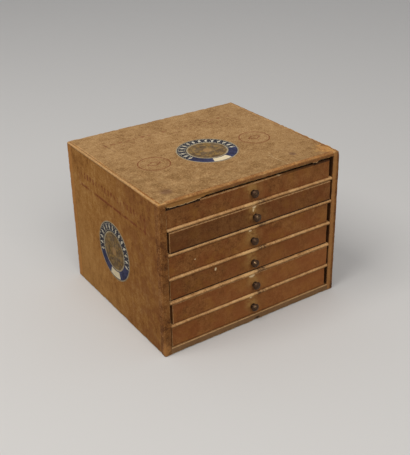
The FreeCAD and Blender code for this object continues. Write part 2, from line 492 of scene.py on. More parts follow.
def make_blot_group():
    """Soft-edged blot round a centre, such as a stain or a patch worn by fingers."""
    tree, takes, gives = new_group(
        "blot",
        [("Place", "Vector", None), ("Centre", "Vector", None), ("Stretch", "Vector", (1.0, 1.0, 1.0)),
         ("Radius", "Float", 8.0), ("Ragged", "Float", 0.6)],
        [("Mask", "Float")])
    place = Place(tree, takes["Place"])
    far = ((place - takes["Centre"]) * takes["Stretch"]).measured("LENGTH")
    share_out = far.reckon("DIVIDE", takes["Radius"])
    swirl = place.grain(4.5, 4.0, 0.65, 0.5) - 0.5
    (swirl * takes["Ragged"] + share_out).ease(1.0, 0.35).to(gives["Mask"])
    return tree


kraft_group = make_kraft_group()
rub_group = make_rub_group()
blot_group = make_blot_group()


def roughen(shader, height, strength, distance):
    """Let the light catch a surface that stands up and sinks by height."""
    bump = wire(height.tree, "Bump", {"Height": height, "Strength": strength, "Distance": distance})
    height.tree.links.new(bump.outputs["Normal"], shader.inputs["Normal"])


def paper_finish(name, main, deep, pale, bare, marks=None, least=0.5, ragged=0.9, roughness=0.82,
                 relief=0.35, **mottle):
    """Aged paper: its mottle, then its marks, then the bare board where its wear shows it.

    The last values go to the kraft group's inputs of the same names.
    """
    finish, tree, shader = new_finish(name, 0.2)
    place = place_in(tree)
    feeds = {"Place": place, "Main": paint(main), "Deep": paint(deep), "Pale": paint(pale)}
    feeds.update({part.capitalize(): value for part, value in mottle.items()})
    kraft = wire(tree, "Group", feeds, node_tree=kraft_group).outputs
    colour = kraft["Colour"]
    height = Value(tree, kraft["Height"])
    for mask, strength, ink in (marks(place) if marks else ()):
        colour = (mask * strength).tint(colour, ink)
    rubbed = place.rubbed(ragged, least)
    torn = place.grain(3.1, 4.0, 0.7).ease(0.35, 0.7)
    rubbed.tint(colour, torn.tint(bare, pale)).to(shader.inputs["Base Color"])
    height.ease(-0.4, 0.8, roughness - 0.1, roughness + 0.08).to(shader.inputs["Roughness"])
    roughen(shader, rubbed * -0.8 + height, relief, 0.0003)
    return finish


CASE_LEFT, CASE_FRONT, CASE_FOOT = span("left_board")[0]
CASE_RIGHT, CASE_REAR, CASE_TOP = span("right_board")[1]
CASE_MIDDLE_Y = (CASE_FRONT + CASE_REAR) / 2.0
INK = (118, 46, 26)
HIGH_ROW, LOW_ROW = 168.0, 153.0        # heights of two faint printed rows
SIDE_POST_REACH = 85.0                  # strokes at the rows' two ends, from the middle of the side
SIDE_SEAM = CASE_REAR - 13.0            # edge of the rear board's paper, turned onto the side


def side_marks(place):
    """Redder front, paler towards the foot at the rear, the lap of the rear paper, and two faint printed
    rows.
    """
    y, z = place.axes()[1:]
    toward_front = y.ease(CASE_REAR - 50.0, CASE_FRONT)
    drifts = place.grain(16.0, 4.0, 0.65).ease(0.38, 0.62)
    seam_y = (place.grain(24.0, 2.0, 0.5) - 0.5) * 2.4 + y
    from_middle = abs(y - CASE_MIDDLE_Y)
    strokes = y.ticks(8.0, 0.5) * z.band(HIGH_ROW - 4.0, HIGH_ROW + 4.0)
    rule = z.band(LOW_ROW - 1.6, LOW_ROW + 1.6)
    rows = strokes.most(rule) * from_middle.ease(SIDE_POST_REACH, SIDE_POST_REACH - 1.0)
    posts = from_middle.band(SIDE_POST_REACH - 3.0, SIDE_POST_REACH, 1.0)
    posts = posts * z.band(LOW_ROW - 3.0, HIGH_ROW + 8.0)
    return [(toward_front * drifts, 0.6, (128, 72, 34)),
            (toward_front, 0.22, (112, 64, 32)),
            ((z * 0.9 - y).ease(70.0, -60.0), 0.4, (196, 146, 84)),
            (seam_y.ease(SIDE_SEAM - 0.4, SIDE_SEAM + 0.4), 0.42, (200, 134, 70)),
            (seam_y.band(SIDE_SEAM - 0.5, SIDE_SEAM + 0.1, 0.35), 0.5, (104, 66, 34)),
            (place.patches(rows.most(posts), 14.0, 0.36), 0.72, INK)]


side_paper = paper_finish("side_kraft", (168, 115, 54), (124, 76, 33), (194, 145, 80), (208, 160, 100),
                          side_marks, drag=(1.0, 1.0, 0.22), clouds=0.5, mottle=0.45, grain=0.5,
                          streaks=0.3)
SIDE_SHAPE = (sides(EDGE_RADIUS, right=SEAM_RADIUS), sides(1.0, right=0.25, rear=0.8, top=0.9),
              sides(OUTER_FLEX, right=INNER_FLEX, top=INNER_FLEX))
cover("left_board", side_paper, "case_board", *SIDE_SHAPE, (2.0, 1.6, 1.6))
cover("right_board", side_paper, "case_board", *map(mirrored, SIDE_SHAPE), (2.0, 1.6, 1.6))


# === Edge strips ========================================================
# Strips of kraft paper glued over the case's edges after it was covered: one round each
# front upright, across the side board and its spacers, and one along each side of the top.
# They are the most handled paper on the chest, so they are dark, flecked and torn.
STRIP_PROUD = 0.13          # the strips' faces, beyond the boards'
UPRIGHT_LAP = 9.0           # onto the side, and into the bays
TOP_LAP = 5.6               # onto the top
FOLD_TAPER = 2.2            # by which that narrows toward the front
SIDE_LAP = 3.2              # down the side from the top
LEFT_BAY, RIGHT_BAY = span("left_spacers")[1][0], span("right_spacers")[0][0]
TORN_FOOT = (CASE_LEFT + 1.5, CASE_FRONT, CASE_FOOT + 9.0)


def upright_marks(place):
    """Grime low down and in drifts, painted shade on the inner faces deep in the bays, pale flecks, and a
    faded inner edge at the right.
    """
    x, y, z = place.axes()
    grime_and_shade = place.grain(13.0, 5.0, 0.7).ease(0.42, 0.62)
    at_fold = abs(x).ease(CASE_RIGHT - 5.5, CASE_RIGHT - 3.0)
    crumbs = at_fold * place.grain(2.8, 5.0, 0.75, 0.4).ease(0.54, 0.61)
    faded = x.band(RIGHT_BAY - 1.0, RIGHT_BAY + 5.0, 1.5) * y.ease(CASE_FRONT + 1.6, CASE_FRONT + 0.8)
    # painted shade on the uprights' inner faces, deep in the bays
    painted_bay_shade = y.ease(CASE_FRONT + 0.8, CASE_FRONT + 2.2) * abs(x).ease(RIGHT_BAY + 2.0, RIGHT_BAY + 1.0)
    return [(grime_and_shade, 0.3, (84, 44, 24)),
            (crumbs, 0.55, (100, 48, 24)),
            (z.ease(46.0, 4.0), 0.4, (74, 46, 30)),
            (place.grain(2.2, 4.0, 0.7, 0.5).ease(0.61, 0.66), 0.75, (196, 146, 90)),
            (faded, 0.6, (202, 142, 82)),
            (painted_bay_shade, 0.75, (52, 32, 18)),
            (place.blot(TORN_FOOT, 7.5, 1.6, (1.0, 1.0, 0.6)), 0.75, (196, 136, 76))]


def fold_marks(place):
    """Orange stain toward the front, with dark crumbs, and golden crumbling at the right."""
    x, y = place.axes()[:2]
    orange = y.ease(CASE_REAR - 90.0, CASE_FRONT + 20.0)
    crumbs = place.grain(2.6, 4.0, 0.7, 0.5).ease(0.60, 0.66)
    crumbled = x.ease(90.0, 120.0) * y.ease(4.0, -40.0)
    return [(orange * place.grain(9.0, 5.0, 0.7).ease(0.36, 0.6), 0.8, (196, 134, 64)),
            (crumbled * place.grain(4.6, 5.0, 0.75).ease(0.50, 0.58), 0.85, (224, 176, 96)),
            (orange * crumbs, 0.6, (112, 70, 34)),
            (crumbled * crumbs, 0.6, (92, 56, 30))]


upright_paper = paper_finish("upright_strip_kraft", (150, 97, 47), (98, 58, 28), (172, 122, 68),
                             (174, 124, 74), upright_marks, least=0.62, ragged=1.25, drag=(1.0, 1.0, 0.3),
                             clouds=0.5, mottle=0.7, grain=0.7, streaks=0.3, specks=0.8)
fold_paper = paper_finish("top_fold_kraft", (148, 110, 67), (114, 78, 44), (174, 134, 86), (204, 158, 104),
                          fold_marks, least=0.42, ragged=1.1, drag=(1.0, 0.3, 1.0), clouds=0.5, mottle=0.6)
UPRIGHT_SHAPE = ((1.9, 0.9, 1.9, 0.2, 1.2, 0.8), (0.45, 0.6, 1.0, 0.35, 0.9, 1.5),
                 sides(INNER_FLEX, left=OUTER_FLEX, front=OUTER_FLEX))
FOLD_SHAPE = ((1.9, 0.2, 1.6, 1.6, 0.2, 1.9), (0.9, 1.0, 1.0, 1.0, 0.1, 1.0),
              sides(OUTER_FLEX, right=INNER_FLEX, foot=INNER_FLEX))
for side, name, case_x, bay_x in ((-1, "left", CASE_LEFT, LEFT_BAY), (1, "right", CASE_RIGHT, RIGHT_BAY)):
    handed = mirrored if side > 0 else tuple
    outer, inner, lap_x = case_x + side * STRIP_PROUD, bay_x - side * STRIP_PROUD, case_x - side * TOP_LAP
    low = np.array((min(outer, inner), CASE_FRONT - STRIP_PROUD, CASE_FOOT))
    high = np.array((max(outer, inner), CASE_FRONT + UPRIGHT_LAP, CASE_TOP - 0.5))
    points, quads, wear = worn_skin(low, high, *map(handed, UPRIGHT_SHAPE), (1.0, 1.4, 1.2), chew=0.5)
    make_piece(name + "_upright_strip", points, quads, upright_paper, "case", "case_board", wear=wear)
    low = np.array((min(outer, lap_x), CASE_FRONT + 0.4, CASE_TOP - SIDE_LAP))
    high = np.array((max(outer, lap_x), CASE_REAR - 0.3, CASE_TOP + STRIP_PROUD))
    points, quads, wear = worn_skin(low, high, *map(handed, FOLD_SHAPE), (0.8, 1.2, 1.0), chew=0.55)
    wander = 0.7 * lumps(points, 11.0, 66.0 + side, 3)
    frontness = 1.0 / (1.0 + np.exp((points[:, 1] + 12.0) / 11.0))
    at_lap = held(1.0 - np.abs(points[:, 0] - lap_x) / 2.5)
    points[:, 0] += (wander + side * FOLD_TAPER * frontness) * at_lap
    ridge = held((points[:, 2] - CASE_TOP + 1.6) / 1.2)
    ridge *= np.exp(-((points[:, 0] - case_x) / 3.2) ** 2)
    patches = held(0.6 + 0.5 * lumps(points, 9.0, 68.0 + side, 3))
    wear = np.maximum(wear, 0.8 * frontness * ridge * patches)
    make_piece(name + "_top_fold", points, quads, fold_paper, "case", "case_board", wear=wear)


# === Top board ==========================================================
# Thicker pasteboard let in between the side boards, under a lighter, pressed kraft paper.
# It has two stains, faint brown stamps, and a front edge worn down to the board.
STAMP_CENTRES = ((-76.5, -11.5, 0.0), (72.5, -13.5, 0.0))
STAMP_RADIUS = 19.8
STAMP_INK = (120, 58, 28)
STAINS = (((-106.0, -88.0, CASE_TOP), 10.0), ((77.0, -86.0, CASE_TOP), 6.5))
PANEL_LEFT, PANEL_RIGHT, PANEL_FRONT, PANEL_REAR = -100.0, 94.0, 52.0, 92.0
PANEL_ROWS = ((74.0, 2.6, 0.55), (61.0, 1.4, 0.35))     # height up the panel, half height and strength
SCUFFED_CORNER = (122.0, -101.0, CASE_TOP)
SCORES = (                  # start, end, half width and colour of scores in the paper
    ((50.0, -72.0), (52.5, -108.0), 0.5, (214, 180, 132)),
    ((56.0, -64.0), (50.0, -84.0), 0.4, (206, 170, 122)),
    ((-98.5, 79.0), (-97.0, 49.0), 0.6, (116, 82, 50)),
    ((-49.0, 84.0), (-20.0, 76.0), 0.4, (122, 88, 56)),
    ((20.0, 98.0), (74.0, 92.0), 0.4, (200, 166, 118)),
)


def scored(place, start, end, half):
    """Mask of a straight score in the top, a little broken, from start to end."""
    start, end = Vector((*start, CASE_TOP)), Vector((*end, CASE_TOP))
    way = end - start
    offset = place - start
    along = offset.measured("DOT_PRODUCT", way / way.length_squared).most(0.0).reckon("MINIMUM", 1.0)
    nearest = wire(place.tree, "VectorMath", {0: way, "Scale": along}, operation="SCALE").outputs[0]
    far = (place.grain(5.0, 3.0) - 0.5) * 1.6 + offset.measured("DISTANCE", nearest)
    return place.patches(far.ease(2.0 * half, 0.4 * half), 4.0, 0.34)


def stamped(place, centre):
    """Mask of a stamp: a bold ring, a fine one in it, and a lozenge."""
    offset = place - centre
    across, along = offset.axes()[:2]
    far = (offset * (1.0, 1.0, 0.0)).measured("LENGTH")
    lozenge = abs(abs(along) * 1.6 + abs(across) - 9.0).ease(1.9, 0.8)
    return far.line(STAMP_RADIUS, 1.1).most((far.line(STAMP_RADIUS - 3.4, 0.4) * 0.5).most(lozenge))


def top_marks(place):
    """Stains, two ring stamps with a lozenge, a ruled panel, and a worn front edge and corner."""
    x, y = place.axes()[:2]
    marks = [(place.blot(centre, radius), 0.66, (104, 70, 56)) for centre, radius in STAINS]
    marks += [(scored(place, start, end, half), 0.75, colour) for start, end, half, colour in SCORES]
    toward_front = (x * 0.35 + y).ease(CASE_REAR - 70.0, CASE_FRONT - 30.0)
    olive = place.grain(10.0, 5.0, 0.68).ease(0.38, 0.62)
    stamps = stamped(place, STAMP_CENTRES[0]).most(stamped(place, STAMP_CENTRES[1]))
    posts = x.band(PANEL_LEFT, PANEL_LEFT + 1.6, 0.8).most(x.band(PANEL_RIGHT - 1.6, PANEL_RIGHT, 0.8))
    panel = posts * y.band(PANEL_FRONT, PANEL_REAR)
    for row_y, half, strength in PANEL_ROWS:
        row = y.band(row_y - half, row_y + half) * x.ticks(11.0, 0.6) * x.band(PANEL_LEFT, PANEL_RIGHT)
        panel = panel.most(row * (strength * 2.0))
    front_edge = y.ease(CASE_FRONT + 2.6, CASE_FRONT + 0.6)
    chips = place.grain(3.4, 5.0, 0.75, 0.5).ease(0.50, 0.60)
    crumbled = place.blot(SCUFFED_CORNER, 34.0, 1.4, (1.3, 1.0, 1.0))
    chewed = x.ease(CASE_RIGHT - 15.0, CASE_RIGHT - 6.0) * y.ease(14.0, -8.0)
    return marks + [
        (toward_front * olive, 0.55, (116, 84, 42)),
        (place.patches(stamps, 6.0, 0.22), 0.85, STAMP_INK),
        (place.patches(panel, 16.0, 0.38), 0.42, INK),
        (front_edge, 0.75, (178, 126, 70)),
        (front_edge * chips, 0.6, (112, 66, 34)),
        (place.blot(SCUFFED_CORNER, 24.0, 1.6, (1.5, 1.0, 1.0)), 0.7, (204, 144, 80)),
        (crumbled * place.grain(4.2, 5.0, 0.75).ease(0.52, 0.60), 0.7, (216, 170, 92)),
        (crumbled * chips, 0.55, (118, 70, 36)),
        (chewed * chips, 0.55, (140, 88, 44))]


top_paper = paper_finish("top_kraft", (169, 130, 83), (126, 90, 50), (192, 154, 104), (206, 156, 96),
                         top_marks, least=0.46, drag=(0.35, 1.0, 1.0), clouds=0.45, mottle=0.4, grain=1.0,
                         specks=0.7)
cover("top_board", top_paper, "case_board",
      sides(EDGE_RADIUS, left=SEAM_RADIUS, right=SEAM_RADIUS, foot=0.7),
      (0.0, 0.35, 1.0, 0.8, 0.5, 1.0),
      sides(OUTER_FLEX, left=INNER_FLEX, right=INNER_FLEX, foot=INNER_FLEX), (1.6, 1.6, 1.6))


# === Torn lip ===========================================================
# The strip that covered the top's front edge.  Its glue has let go below, and what is left
# hangs over the top drawer's gap in two ragged pieces.
LIP_LAP = 3.4               # onto the top
LIP_PAPER = 0.22            # thickness, with what is left of the glue
LIP_SHORT = 1.6             # above the underside of the top board, where nothing hangs
LIP_HANGS = ((-98.0, 27.0, 3.4), (91.0, 5.0, 2.4), (20.0, 14.0, 0.9))   # middle, half length and drop
LIP_LOWEST = 2.1            # below the underside of the top board
LIP_BILLOW = 0.28 / 3.0     # how far it stands out for each millimetre that it hangs
LIP_RAGGED = 0.75           # how far its torn foot wanders up and down
TOP_UNDERSIDE = span("top_board")[0][2]


def lip_rows(x):
    """Section of the lip at x: places along the top, round the edge and down, with the way out."""
    drop = sum(depth * math.exp(-abs((x - middle) / half) ** 4) for middle, half, depth in LIP_HANGS)
    drop += LIP_RAGGED * lumps([(x, 0.0, 0.0)], 3.6, 71.0, 4)[0] - LIP_SHORT
    bend_end = CASE_TOP - EDGE_RADIUS
    foot = max(min(TOP_UNDERSIDE - drop, bend_end - 0.5), TOP_UNDERSIDE - LIP_LOWEST)
    lap = LIP_LAP + 0.9 * lumps([(x, 9.0, 0.0)], 5.0, 72.0, 3)[0]
    bend_y = CASE_FRONT + EDGE_RADIUS
    rows = [((x, bend_y + lap * (1.0 - step / 3.0), CASE_TOP), (0.0, 0.0, 1.0)) for step in range(3)]
    for turn in np.radians(np.linspace(0.0, 90.0, 7)):
        way = (0.0, -math.sin(turn), math.cos(turn))
        rows.append(((x, bend_y + EDGE_RADIUS * way[1], bend_end + EDGE_RADIUS * way[2]), way))
    for z in np.linspace(bend_end, foot, 9)[1:]:
        billow = LIP_BILLOW * max(0.0, TOP_UNDERSIDE + 1.5 - z)
        rows.append(((x, CASE_FRONT - billow, z), (0.0, -1.0, 0.0)))
    return rows


def paper_ribbon(sections, paper, proud):
    """Closed thin ribbon through rows of (point, way out): the points, and quads facing outward."""
    points = [np.array(point) + np.array(way) * offset for section in sections
              for offset in (proud, proud - paper) for point, way in section]
    count = len(sections[0])
    last, end = count - 1, len(points) - 2 * count
    quads = []
    for here in range(0, end, 2 * count):
        there = here + 2 * count
        for row in range(last):
            quads += [(here + row, here + row + 1, there + row + 1, there + row),
                      (here + count + row, there + count + row,
                       there + count + row + 1, here + count + row + 1)]
        quads += [(here, there, there + count, here + count),
                  (here + last, here + count + last, there + count + last, there + last)]
    for row in range(last):
        quads += [(row, row + count, row + count + 1, row + 1),
                  (end + row, end + row + 1, end + row + count + 1, end + row + count)]
    return np.array(points), quads


def lip_marks(place):
    """Golden on the top and where it hangs at the left, red-brown down the front, with darker drifts."""
    x, z = place.axes()[::2]
    down = z.ease(CASE_TOP - 0.8, CASE_TOP - 2.0)
    at_left = down * x.ease(-56.0, -68.0)
    flakes = place.grain(4.0, 5.0, 0.75).ease(0.52, 0.60) * x.ease(0.0, 60.0)
    return [(place.grain(8.0, 5.0, 0.7).ease(0.38, 0.6), 0.4, (124, 74, 36)),
            (flakes, 0.7, (206, 142, 78)),
            (place.grain(2.8, 5.0, 0.75, 0.5).ease(0.50, 0.58), 0.5, (116, 66, 34)),
            (down, 0.55, (136, 84, 46)),
            (at_left, 0.75, (176, 124, 64)),
            (at_left * z.band(CASE_TOP - 3.0, CASE_TOP - 2.0, 0.4), 0.6, (112, 68, 26))]


lip_paper = paper_finish("lip_kraft", (176, 127, 72), (132, 84, 42), (202, 156, 98), (240, 200, 146),
                         lip_marks, ragged=1.1, clouds=0.5, mottle=0.7)
lip_places = np.arange(LEFT_BAY + 0.6, RIGHT_BAY - 0.6, 0.8)
lip_sections = [lip_rows(x) for x in lip_places]
points, quads = paper_ribbon(lip_sections, LIP_PAPER, STRIP_PROUD)
on_top = held((points[:, 2] - (CASE_TOP - EDGE_RADIUS)) / EDGE_RADIUS)
points[:, 2] -= OUTER_FLEX * hollows(points) * on_top
lip_feet = np.array([section[-1][0][2] for section in lip_sections])
feet = np.repeat(lip_feet, 2 * len(lip_sections[0]))
hanging = held((TOP_UNDERSIDE - feet) / 0.6)
at_foot = (0.55 + 0.6 * hanging) * held(1.0 - (points[:, 2] - feet) / (0.7 + 0.9 * hanging))
at_lap = held((points[:, 1] - (CASE_FRONT + EDGE_RADIUS + LIP_LAP - 1.2)) / 1.2)
make_piece("torn_lip", points, quads, lip_paper, "case", "case_board",
           wear=np.maximum(at_foot, 0.6 * at_lap))


# === Paper labels =======================================================
# Three round labels of glazed paper, printed navy, cream and gold, and gone dull.  They are
# pasted on the top and both sides, and follow every hollow of the board under them.
LABEL_RISE = 0.2            # paper and paste above the board
LABEL_RING_OUT, LABEL_RING_IN = 37.9, 26.4
LABEL_HEART = 24.6          # inside the inner gold line
LABEL_PETALS = 12
LABEL_TURNS = 144
INLAY_RADIUS = (LABEL_RING_OUT + LABEL_RING_IN) / 2.0
INLAY_COUNT = 15
INLAY_START, INLAY_SWEEP = math.radians(-16.0), math.radians(212.0)     # the ring is bare past these
INLAY_THICK = 0.03
INLAY_RISE = LABEL_RISE + INLAY_THICK / 2.0 - 0.005     # of its middle above the board
LABEL_BLOOM, BLOOM_SWING = 13.0, 2.6    # the rosette's line: its radius, and how far petals swing it
LABEL_BEAD = 25.5           # raised line round the heart
PLAQUE_HALF_ANGLE = math.radians(20.0)


def label_frame(node):
    """Centre of a label on its board, its across, along and outward ways, and its radius."""
    low, high = span(node)
    thin = int(np.argmin(high - low))
    centre = (low + high) / 2.0
    if thin == 2:
        across, along, outward = (1, 0, 0), (0, 1, 0), (0, 0, 1)
        centre[2] = low[2]
    else:
        way = 1 if centre[0] > 0 else -1
        across, along, outward = (0, way, 0), (0, 0, 1), (way, 0, 0)
        centre[0] = CASE_RIGHT if way > 0 else CASE_LEFT
    return centre, np.array((across, along, outward), float), (high - low)[1] / 2.0


def pasted(node, flat, rise):
    """Points given across, along and above a label, laid on the hollows of its board."""
    centre, (across, along, outward) = label_frame(node)[:2]
    board = centre + flat[:, :1] * across + flat[:, 1:2] * along
    sunk = OUTER_FLEX * hollows(board)
    return board + (flat[:, 2] + rise - sunk)[:, None] * outward


def lofted(rings, around, flipped=False):
    """Quads between rings of equally many points, closed round each ring; flipped, they face back."""
    quads = [(ring * around + k, ring * around + (k + 1) % around,
              (ring + 1) * around + (k + 1) % around, (ring + 1) * around + k)
             for ring in range(rings - 1) for k in range(around)]
    return [(a, d, c, b) for a, b, c, d in quads] if flipped else quads


def label_disc(radius):
    """Flat points and faces of a round label with a rounded, slightly lifted rim, and its wear."""
    reaches = list(np.arange(1.5, radius - 1.2, 1.5)) + [radius - 1.2, radius - 0.6, radius - 0.15, radius]
    angles = np.linspace(0.0, 2.0 * math.pi, LABEL_TURNS, endpoint=False)
    ragged = 0.16 * lumps([(9.0 * math.cos(a), 9.0 * math.sin(a), 0.0) for a in angles], 2.5, 81.0, 3)
    petals = 0.5 + 0.5 * np.cos(LABEL_PETALS * angles)
    rings = []
    for reach in reaches + [radius - 0.05]:
        wide = reach + ragged * max(0.0, 1.0 - (radius - reach) / 1.2)
        bloom = 0.03 * petals * math.exp(-((reach - LABEL_BLOOM) / 5.0) ** 2)
        bead = 0.025 * math.exp(-((reach - LABEL_BEAD) / 0.9) ** 2)
        rings.append(np.column_stack((wide * np.cos(angles), wide * np.sin(angles), bloom + bead)))
    rings[-1][:, 2] = -LABEL_RISE - 0.05
    points = np.concatenate(rings + [[(0.0, 0.0, 0.0)]])
    faces = [(len(points) - 1, turn, (turn + 1) % LABEL_TURNS) for turn in range(LABEL_TURNS)]
    faces += lofted(len(rings), LABEL_TURNS, flipped=True)
    reach = np.hypot(points[:, 0], points[:, 1])
    return points, faces, held(1.0 - (radius - reach) / 1.6)


def realize(tree, put, takes, gives):
    """End a geometry tree: its instances as one mesh, with its finish."""
    real = wire(tree, "GeometryNodeRealizeInstances", {0: put.outputs[0]})
    done = wire(tree, "GeometryNodeSetMaterial", {"Geometry": real.outputs[0], "Material": takes["Finish"]})
    tree.links.new(done.outputs[0], gives[0])


def make_inlay_tree(corners):
    """Geometry nodes: an arc of flat shapes with the given number of corners, long axis outward."""
    tree, takes, gives = new_group(
        "inlay_arc",
        [("Count", "Int", INLAY_COUNT), ("Radius", "Float", INLAY_RADIUS), ("Start", "Float", INLAY_START),
         ("Sweep", "Float", INLAY_SWEEP), ("Length", "Float", 7.0), ("Width", "Float", 3.6),
         ("Thick", "Float", INLAY_THICK), ("Finish", "Material", None)],
        [("Shapes", "Geometry")], "GeometryNodeTree")
    ring = wire(tree, "GeometryNodeCurveArc", {"Resolution": takes["Count"], "Radius": takes["Radius"],
                                               "Start Angle": takes["Start"], "Sweep Angle": takes["Sweep"]})
    shape = wire(tree, "GeometryNodeMeshCylinder",
                 {"Vertices": corners, "Radius": 0.5, "Depth": takes["Thick"]})
    size = wire(tree, "CombineXYZ", {"X": takes["Length"], "Y": takes["Width"], "Z": 1.0})
    facing = wire(tree, "FunctionNodeAlignRotationToVector",
                  {"Vector": wire(tree, "GeometryNodeInputPosition").outputs[0]}, axis="X", pivot_axis="Z")
    put = wire(tree, "GeometryNodeInstanceOnPoints",
               {"Points": ring.outputs["Curve"], "Instance": shape.outputs["Mesh"],
                "Rotation": facing.outputs["Rotation"], "Scale": size.outputs[0]})
    realize(tree, put, takes, gives)
    return tree


def grown(tree, seedling, **feeds):
    """Points and faces that a geometry tree makes, with its named inputs set."""
    holder = bpy.data.objects.new("seedling", seedling)
    bpy.context.scene.collection.objects.link(holder)
    modifier = holder.modifiers.new("growth", "NODES")
    modifier.node_group = tree
    for item in tree.interface.items_tree:
        if item.in_out == "INPUT" and item.name in feeds:
            modifier[item.identifier] = feeds[item.name]
    holder.update_tag()
    view = bpy.context.evaluated_depsgraph_get()
    mesh = bpy.data.meshes.new_from_object(holder.evaluated_get(view), depsgraph=view)
    points = np.array([tuple(corner.co) for corner in mesh.vertices])
    faces = [tuple(face.vertices) for face in mesh.polygons]
    bpy.data.objects.remove(holder)
    bpy.data.meshes.remove(mesh)
    return points, faces


def cream_plaque():
    """Flat points and faces of a bare cream plaque at the foot of the ring."""
    section = ((LABEL_RING_IN + 1.2, -0.5), (LABEL_RING_OUT - 0.9, -0.5),
               (LABEL_RING_OUT - 0.9, 0.5), (LABEL_RING_IN + 1.2, 0.5))
    angles = np.linspace(-PLAQUE_HALF_ANGLE, PLAQUE_HALF_ANGLE, 17) - math.pi / 2.0
    points = [(reach * math.cos(angle), reach * math.sin(angle), rise * INLAY_THICK)
              for angle in angles for reach, rise in section]
    faces = lofted(len(angles), len(section), flipped=True)
    last = len(points) - len(section)
    return np.array(points), faces + [(0, 1, 2, 3), (last + 3, last + 2, last + 1, last)]


def label_finish():
    """Glazed print: cream rim, navy ring, gold heart with a petalled rosette, rubbed and browned."""
    finish, tree, shader = new_finish("label_print", 0.16)
    place = place_in(tree)
    across, along = place.layer("across"), place.layer("along")
    far = Place(tree, wire(tree, "CombineXYZ", {0: across, 1: along}).outputs[0]).measured("LENGTH")
    browned = place.grain(9.0, 5.0, 0.7).ease(0.35, 0.68)
    speckled = place.grain(1.3, 4.0, 0.7).ease(0.50, 0.66)
    figured = place.grain(6.5, 4.0, 0.65).ease(0.40, 0.60)
    navy = along.ease(-14.0, -4.0).tint((23, 32, 80), (15, 17, 34))
    navy = (browned * 0.6).tint(navy, (13, 14, 28))
    cream = browned.tint((184, 170, 138), (146, 126, 92))
    petals = (along.reckon("ARCTAN2", across) * float(LABEL_PETALS)).reckon("COSINE")
    bloom_line = abs(far - (petals * BLOOM_SWING + LABEL_BLOOM)).ease(1.3, 0.4)
    heart = (bloom_line * 0.75).tint(figured.tint((94, 69, 35), (142, 110, 53)), (62, 44, 26))
    heart = (far.ease(6.4, 4.4) * 0.75).tint(heart, (168, 128, 78))
    heart = (far.line(19.6, 0.5) * 0.6).tint(heart, (64, 46, 30))
    heart = (far.line(22.4, 0.5) * 0.5).tint(heart, (58, 44, 32))
    colour = far.ease(LABEL_HEART - 0.2, LABEL_HEART + 0.2).tint(heart, cream)
    colour = far.ease(LABEL_RING_IN - 0.3, LABEL_RING_IN + 0.3).tint(colour, navy)
    colour = far.ease(LABEL_RING_OUT - 0.25, LABEL_RING_OUT + 0.25).tint(colour, cream)
    colour = far.ease(LABEL_RING_OUT + 0.8, LABEL_RING_OUT + 1.2).tint(colour, (84, 60, 38))
    colour = (speckled * 0.35).tint(colour, (88, 70, 52))
    place.rubbed(1.2, 0.7).tint(colour, (176, 150, 112)).to(shader.inputs["Base Color"])
    browned.ease(0.0, 1.0, 0.42, 0.6).to(shader.inputs["Roughness"])
    roughen(shader, place.grain(1.4, 4.0, 0.65), 0.2, 0.0002)
    return finish


def inlay_marks(place):
    """Warmer, cleaner paper on the plaque."""
    return [(place.layer("plaque"), 0.75, (240, 220, 178))]


label_print = label_finish()
inlay_paper = paper_finish("label_cream_ink", (210, 200, 176), (160, 146, 118), (226, 218, 198),
                           (120, 100, 74), inlay_marks, roughness=0.6, relief=0.1, clouds=0.4,
                           mottle=0.8, grain=0.7, specks=0.9)
INLAYS = (                  # corners, count, radius, length and width of each ring of shapes
    (4, INLAY_COUNT, INLAY_RADIUS, 8.2, 3.9),
    (8, 2 * INLAY_COUNT, LABEL_RING_IN + 1.7, 1.3, 1.3),
    (8, 2 * INLAY_COUNT, LABEL_RING_OUT - 1.7, 1.5, 1.5),
)
inlays = [grown(make_inlay_tree(corners), bpy.data.meshes.new("seed"), Count=count, Radius=radius,
                Length=length, Width=width, Thick=INLAY_THICK, Finish=inlay_paper)
          for corners, count, radius, length, width in INLAYS] + [cream_plaque()]
motifs = np.concatenate([part[0] for part in inlays])
on_plaque = np.repeat((0.0, 0.0, 0.0, 1.0), [len(part[0]) for part in inlays])
motif_faces, offset = [], 0
for part_points, part_faces in inlays:
    motif_faces += [tuple(corner + offset for corner in face) for face in part_faces]
    offset += len(part_points)
for name in ("top_label", "left_label", "right_label"):
    flat, faces, wear = label_disc(label_frame(name)[2])
    make_piece("printed_" + name, pasted(name, flat, LABEL_RISE), faces, label_print, "case", "label_paper",
               [name], across=flat[:, 0].copy(), along=flat[:, 1].copy(), wear=wear)
    make_piece("inlay_" + name, pasted(name, motifs, INLAY_RISE), motif_faces, inlay_paper, "case",
               "label_paper", crease=30, wear=np.zeros(len(motifs)), plaque=on_plaque)


# === Bottom and back boards =============================================
# The bottom is the thickest board and carries the chest's weight.  The back closes the case
# behind the shelves.  Both are covered like the sides, and scuffed and dusty underneath.
FOOT_GAP_SHADOW = (5.0, CASE_FRONT, CASE_FOOT + 1.0)        # painted shadow of a gap under the foot's front edge, below the lowest knob


def foot_marks(place):
    """Grey dust and painted contact shadow near the ground, a darker front edge, and a painted gap shadow at
    its foot.
    """
    y, z = place.axes()[1:]
    return [(y.ease(CASE_FRONT + 1.9, CASE_FRONT + 0.6), 0.8, (140, 104, 70)),
            # grey dust, and painted contact shadow where the foot meets the floor
            (z.ease(3.0, 0.0), 0.6, (80, 62, 45)),
            # painted shadow of a gap under the foot's front edge
            (place.blot(FOOT_GAP_SHADOW, 6.0, 0.9), 0.92, (40, 27, 18))]


